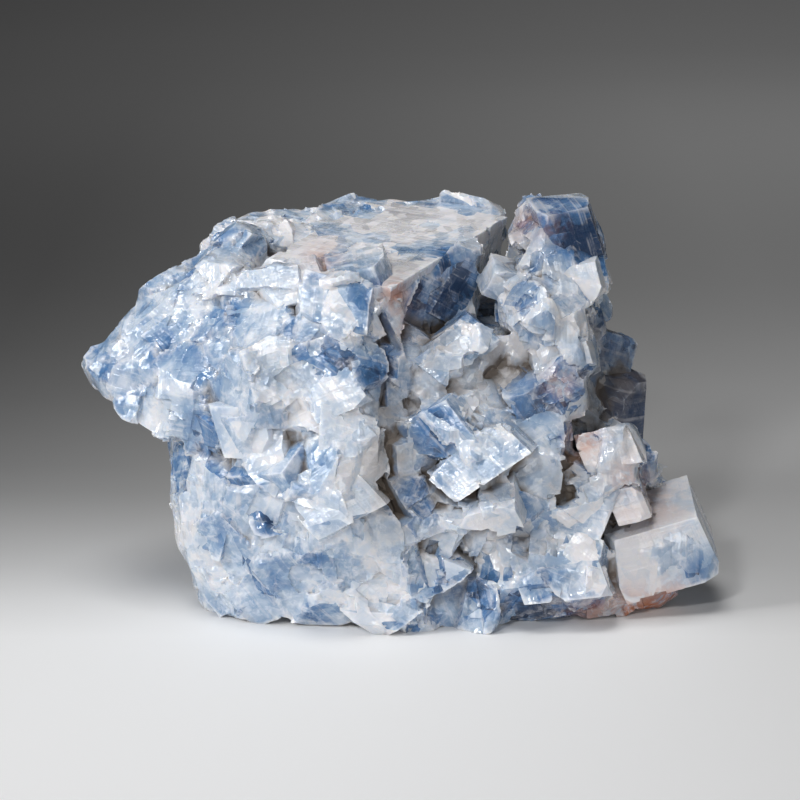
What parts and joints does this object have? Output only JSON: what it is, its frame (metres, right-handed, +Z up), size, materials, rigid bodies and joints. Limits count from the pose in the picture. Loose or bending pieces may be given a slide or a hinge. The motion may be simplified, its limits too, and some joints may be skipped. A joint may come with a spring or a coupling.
{
  "type": "blue calcite specimen",
  "caption": "Hand-sized lump of translucent blue calcite crystals grown together, with broken cleavage faces and brown crevices, resting on its level underside.",
  "frame": {"origin": "on the surface the lump stands on, under the middle of its bounding box", "axes": "+Z up, front towards -Y, the pointed left wedge towards -X and the low corner block towards +X"},
  "size_m": [0.15, 0.103, 0.094],
  "materials": {
    "calcite": "translucent milky blue, glassy cleavage faces with white bruised edges"
  },
  "bodies": {
    "root": {"blue_calcite": "calcite"}
  },
  "joints": []
}
